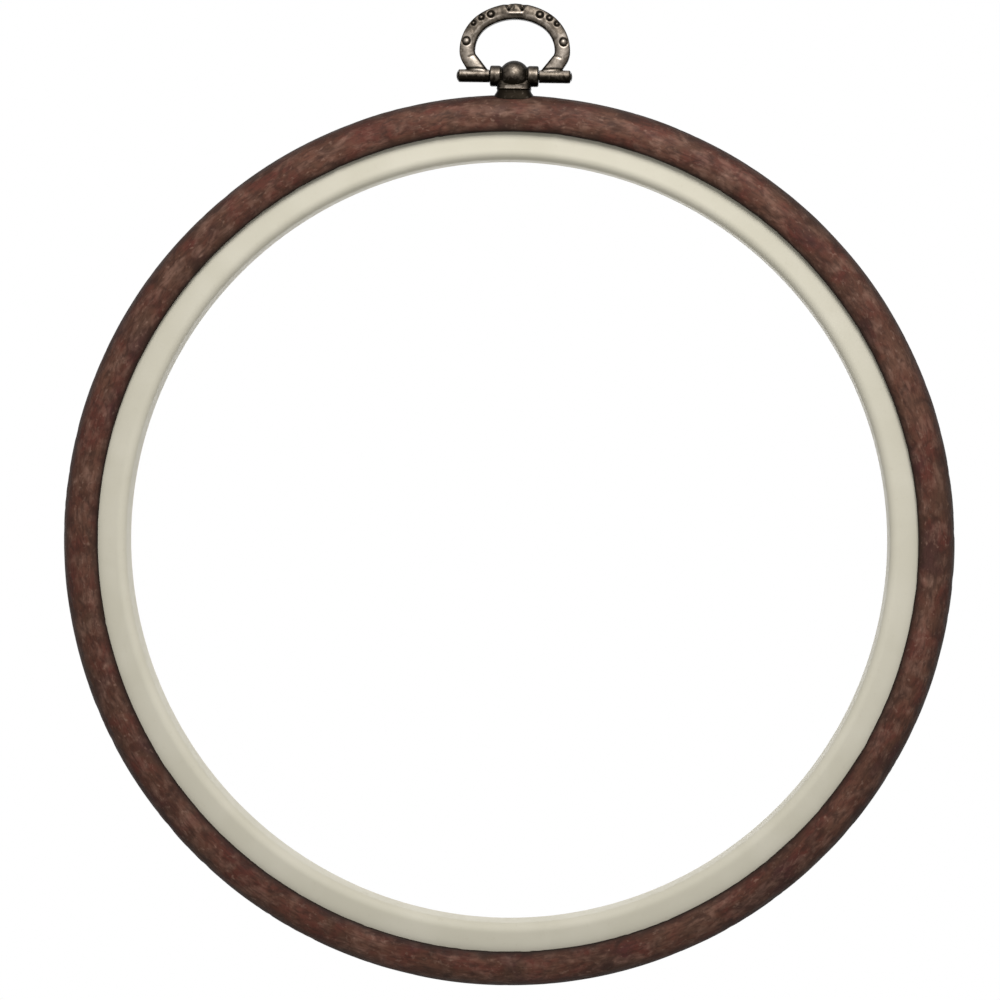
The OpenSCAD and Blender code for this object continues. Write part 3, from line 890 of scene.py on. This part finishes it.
# %% Vinyl shading and finish
SECTION_MM = 32.0
across = add(tree, "Attribute", out="Fac", attribute_name="across")
at_section = add(tree, "Math", {0: across, 1: SECTION_MM}, operation="DIVIDE")
# painted shade: the lip's rounded inner edge and the outer side of the dome
lip_edge_shade, outer_side_shade = (
    add(tree, "ValToRGB", {"Fac": at_section}, stops=[(mm / SECTION_MM, g) for mm, g in stops])
    for stops in (
        [(1.3, 1.0), (2.0, 0.55), (3.2, 0.0)],
        [(7.4, 0.0), (9.6, 0.62), (11.6, 0.94), (13.4, 0.80), (15.4, 0.35)],
    )
)
painted_edge_shade = add(tree, "Math", {0: lip_edge_shade, 1: outer_side_shade}, operation="MAXIMUM")
# painted shade: near-black brown laid over the lip's edge and the outer side
wood = add(tree, "Mix", {0: painted_edge_shade, 6: wood, 7: linear("#1f140e")}, **OVER)
softer_figure = add(tree, "Math", {0: figure, 1: 0.8}, operation="MULTIPLY")
height = add(tree, "Math", {0: fibre, 1: softer_figure}, operation="ADD")
relief = add(tree, "Bump", {"Strength": 0.5, "Distance": 0.18 * MM, "Height": height})
gloss = add(tree, "ValToRGB", {"Fac": fleck}, stops=[(0.3, 0.55), (0.7, 0.68)])
shader = add(tree, "BsdfPrincipled", {
    "Base Color": wood, "Roughness": gloss, "IOR": 1.54, "Specular IOR Level": 0.12,
    "Normal": relief,
})
add(tree, "OutputMaterial", {"Surface": shader})

# %% [markdown]
# ## Ivory plastic
# The stiff ring is injection-moulded ABS in ivory. It is smooth with a soft gloss, a
# faint cloudiness from the pigment and a very fine skin from the mould.

# %% Ivory ABS
ivory, tree = material("ivory_abs_moulded")
on_piece = add(tree, "TexCoord", out="Object")
cloud = pattern(tree, on_piece, 14, detail=2, distortion=0.6)
speck = pattern(tree, on_piece, 1.3)
skin = pattern(tree, on_piece, 0.5, detail=2)
tint = add(tree, "ValToRGB", {"Fac": cloud}, stops=[(0.35, "#d5cfbc"), (0.65, "#dbd5c3")])
amount = add(tree, "ValToRGB", {"Fac": speck}, stops=[(0.62, 0.0), (0.80, 0.25)])
tint = add(tree, "Mix", {0: amount, 6: tint, 7: linear("#c2b9a2")}, **OVER)
gloss = add(tree, "ValToRGB", {"Fac": speck}, stops=[(0.3, 0.48), (0.7, 0.58)])
relief = add(tree, "Bump", {"Strength": 0.12, "Distance": 0.05 * MM, "Height": skin})
shader = add(tree, "BsdfPrincipled", {
    "Base Color": tint, "Roughness": gloss, "IOR": 1.53, "Specular IOR Level": 0.12,
    "Normal": relief,
})
add(tree, "OutputMaterial", {"Surface": shader})

# %% [markdown]
# ## Antique brass
# The castings are a zinc alloy plated with brass, blackened in a bath and rubbed bright
# on the high places. The black is a thin brown oxide that still shines like metal. So
# one metal goes from near black to worn grey brass by the stored value of wear and
# painted light, broken up by a noise the size of the polishing scratches. The pin is the
# same metal without the stored value.

# %% Antique brass
def antique_brass(name, wear_and_light_name, dark, middle, bright):
    """Blackened brass: grime alone, or the level kept on the points for rubbed places and
    painted light plus 0.9 times the grime's way from its middle level, goes from the dark
    to the bright colour."""
    made, tree = material(name)
    on_piece = add(tree, "TexCoord", out="Object")
    grime = pattern(tree, on_piece, 1.1, detail=4, distortion=0.8)
    grit = pattern(tree, on_piece, 0.16)
    grime_wear_and_light = grime
    if wear_and_light_name:
        stored_wear_and_light = add(tree, "Attribute", out="Fac", attribute_name=wear_and_light_name)
        centred = add(tree, "Math", {0: grime, 1: 0.5}, operation="SUBTRACT")
        spread = add(tree, "Math", {0: centred, 1: 0.9}, operation="MULTIPLY")
        grime_wear_and_light = add(tree, "Math", {0: stored_wear_and_light, 1: spread}, operation="ADD", use_clamp=True)
    # the bright colour shows the rubbed high places and the painted highlights, the dark one the
    # oxide and the painted shade
    colour = add(tree, "ValToRGB", {"Fac": grime_wear_and_light}, stops=[
        (0.10, dark), (0.55, middle), (0.95, bright),
    ])
    gloss = add(tree, "ValToRGB", {"Fac": grime_wear_and_light}, stops=[(0.1, 0.46), (0.9, 0.40)])
    relief = add(tree, "Bump", {"Strength": 0.25, "Distance": 0.04 * MM, "Height": grit})
    shader = add(tree, "BsdfPrincipled", {
        "Base Color": colour, "Metallic": 1.0, "Roughness": gloss, "Normal": relief,
    })
    add(tree, "OutputMaterial", {"Surface": shader})
    return made


brass = antique_brass("antique_brass_plated_zinc", "wear_and_painted_light", "#191510", "#5a5249", "#9d9388")
pin_brass = antique_brass("blackened_brass_wire", None, "#191510", "#2d2821", "#5d554a")

# %% [markdown]
# ## Zinc-plated steel
# The screw and washer are turned and stamped steel with a thin bright zinc coat: a cool
# grey metal with a faint mottle.

# %% Zinc-plated steel
zinc, tree = material("zinc_plated_steel_turned")
mottle = pattern(tree, add(tree, "TexCoord", out="Object"), 0.9)
tint = add(tree, "ValToRGB", {"Fac": mottle}, stops=[(0.35, "#8f9496"), (0.65, "#b4b8ba")])
gloss = add(tree, "ValToRGB", {"Fac": mottle}, stops=[(0.3, 0.28), (0.7, 0.42)])
shader = add(tree, "BsdfPrincipled", {"Base Color": tint, "Metallic": 1.0, "Roughness": gloss})
add(tree, "OutputMaterial", {"Surface": shader})

# %% [markdown]
# ## Putting the pieces on the moving parts
# The hoop swings under the bail, and the ivory ring slides out of the hoop at the back.
# Each new piece rides on the same body as the CAD part that it stands for.

# %% Bodies, slots and materials
for piece, finish, body_name, slot_name, stands_for in (
    (vinyl_ring, vinyl, "hoop", "wood_grain_vinyl", "outer_ring"),
    (stiff_ring, ivory, "frame", "ivory_plastic", "inner_ring"),
    (bail, brass, "bail", "antique_brass", "hanger_bail"),
    (head, brass, "hoop", "antique_brass", "hanger_head"),
    (wire_pin, pin_brass, "hoop", "brass_wire", "pivot_pin"),
):
    piece.data.materials.clear()
    piece.data.materials.append(finish)
    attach(piece, body_name)
    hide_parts(stands_for)
    print(piece.name, "rides on", body_name, "in", finish.name)
for node_name in ("fixing_screw", "screw_washer"):
    for slot in frame["nodes"][node_name].material_slots:
        slot.material = zinc

# %% [markdown]
# ## Floor and light
# The hoop hangs over a small round floor. To the camera it is mixed with white, half in
# its middle and wholly at its rim, so that it stays pale, keeps a soft shadow and has no
# edge in any view. The world is plain white to the camera and to reflections, and a soft
# grey to everything else. One lamp above and to the right gives the gentle fall of light
# that the photograph has, and a weaker one lights the back.

# %% Floor
FLOOR_Z_MM, FLOOR_HALF_MM = -280.0, 500.0
FADE_FROM, FADE_TO, MIDDLE_WHITE = 0.30, 0.47, 0.5  # metres, metres, share of white
floor_points = np.array([[-1, -1, 0], [1, -1, 0], [1, 1, 0], [-1, 1, 0]]) * FLOOR_HALF_MM
floor = new_piece("floor", floor_points + [0, 0, FLOOR_Z_MM], np.array([[0, 1, 2, 3]]))


def seen_or_mirrored(tree):
    """1 for a ray from the camera, off a mirror or through glass, and 0 for any other."""
    rays = [add(tree, "LightPath", out=f"Is {kind} Ray")
            for kind in ("Camera", "Glossy", "Transmission")]
    mirrored = add(tree, "Math", {0: rays[1], 1: rays[2]}, operation="MAXIMUM")
    return add(tree, "Math", {0: rays[0], 1: mirrored}, operation="MAXIMUM")


paper, tree = material("white_paper_floor")
on_floor = add(tree, "VectorMath", {0: add(tree, "TexCoord", out="Object"), 1: (1, 1, 0)},
               operation="MULTIPLY")
from_middle = add(tree, "VectorMath", {0: on_floor}, out="Value", operation="LENGTH")
fade = add(tree, "MapRange", {
    "Value": from_middle, "From Min": FADE_FROM, "From Max": FADE_TO,
    "To Min": MIDDLE_WHITE, "To Max": 1.0,
}, interpolation_type="SMOOTHSTEP")
whiter = add(tree, "Math", {0: fade, 1: seen_or_mirrored(tree)}, operation="MULTIPLY")
card = add(tree, "BsdfDiffuse", {"Color": linear("#f0efec")})
white = add(tree, "Emission", {"Color": (1, 1, 1, 1), "Strength": 1.0})
add(tree, "OutputMaterial", {
    "Surface": add(tree, "MixShader", {0: whiter, 1: card, 2: white}),
})
floor.data.materials.append(paper)

# %% World
scene.world = bpy.data.worlds.new("studio")
scene.world.use_nodes = True
tree = scene.world.node_tree
tree.nodes.clear()
soft_light = add(tree, "Background", {"Color": linear("#f4f6f8"), "Strength": 0.36})
plain_white = add(tree, "Background", {"Color": (1, 1, 1, 1), "Strength": 1.0})
add(tree, "OutputWorld", {
    "Surface": add(tree, "MixShader", {
        0: seen_or_mirrored(tree), 1: soft_light, 2: plain_white,
    }),
})


# %% Lamps
def softbox(name, place, aim, size, power):
    """A square area lamp at a place, turned to shine at a point."""
    lamp = bpy.data.lights.new(name, "AREA")
    lamp.size, lamp.energy = size, power
    holder = bpy.data.objects.new(name, lamp)
    holder.location = place
    holder.rotation_mode = "QUATERNION"
    holder.rotation_quaternion = (Vector(aim) - Vector(place)).to_track_quat("-Z", "Y")
    scene.collection.objects.link(holder)


softbox("key_softbox", (0.06, -0.32, 0.36), aim=(0, 0, 0.02), size=0.22, power=1.85)
softbox("back_softbox", (0, 0.70, 0), aim=(0, 0, 0), size=0.45, power=1.0)

# %% [markdown]
# ## Camera
# The photograph looks almost straight at the hoop, a little from above and from the
# right, and the hoop leans clockwise in it by about one degree. The camera is worked out
# from these three angles, the distance and the point in the middle of the picture.

# %% Camera
DISTANCE, FIELD = 0.55, 0.2279
ROLL, RIGHT, ABOVE = np.radians(1.1), np.radians(2.8), np.radians(2.5)
back_way = np.array([
    np.sin(RIGHT) * np.cos(ABOVE), -np.cos(RIGHT) * np.cos(ABOVE), np.sin(ABOVE),
])
level_right = np.cross([0, 0, 1], back_way)
level_right /= np.linalg.norm(level_right)
level_up = np.cross(back_way, level_right)
picture_right = np.cos(ROLL) * level_right + np.sin(ROLL) * level_up
picture_up = np.cross(back_way, picture_right)
AIM_RIGHT, AIM_UP = -0.00121, 0.00994
aim = AIM_RIGHT * picture_right + AIM_UP * picture_up
camera = bpy.data.objects.new("camera", bpy.data.cameras.new("camera"))
camera.data.lens = camera.data.sensor_width * DISTANCE / FIELD
turned_to = np.column_stack([picture_right, picture_up, back_way])
camera.matrix_world = Matrix(turned_to.tolist()).to_4x4()
camera.location = aim + DISTANCE * back_way
scene.collection.objects.link(camera)
scene.camera = camera
scene.view_settings.view_transform = "Standard"
print(f"lens {camera.data.lens:.1f} mm, camera at {np.round(np.array(camera.location), 3)}")
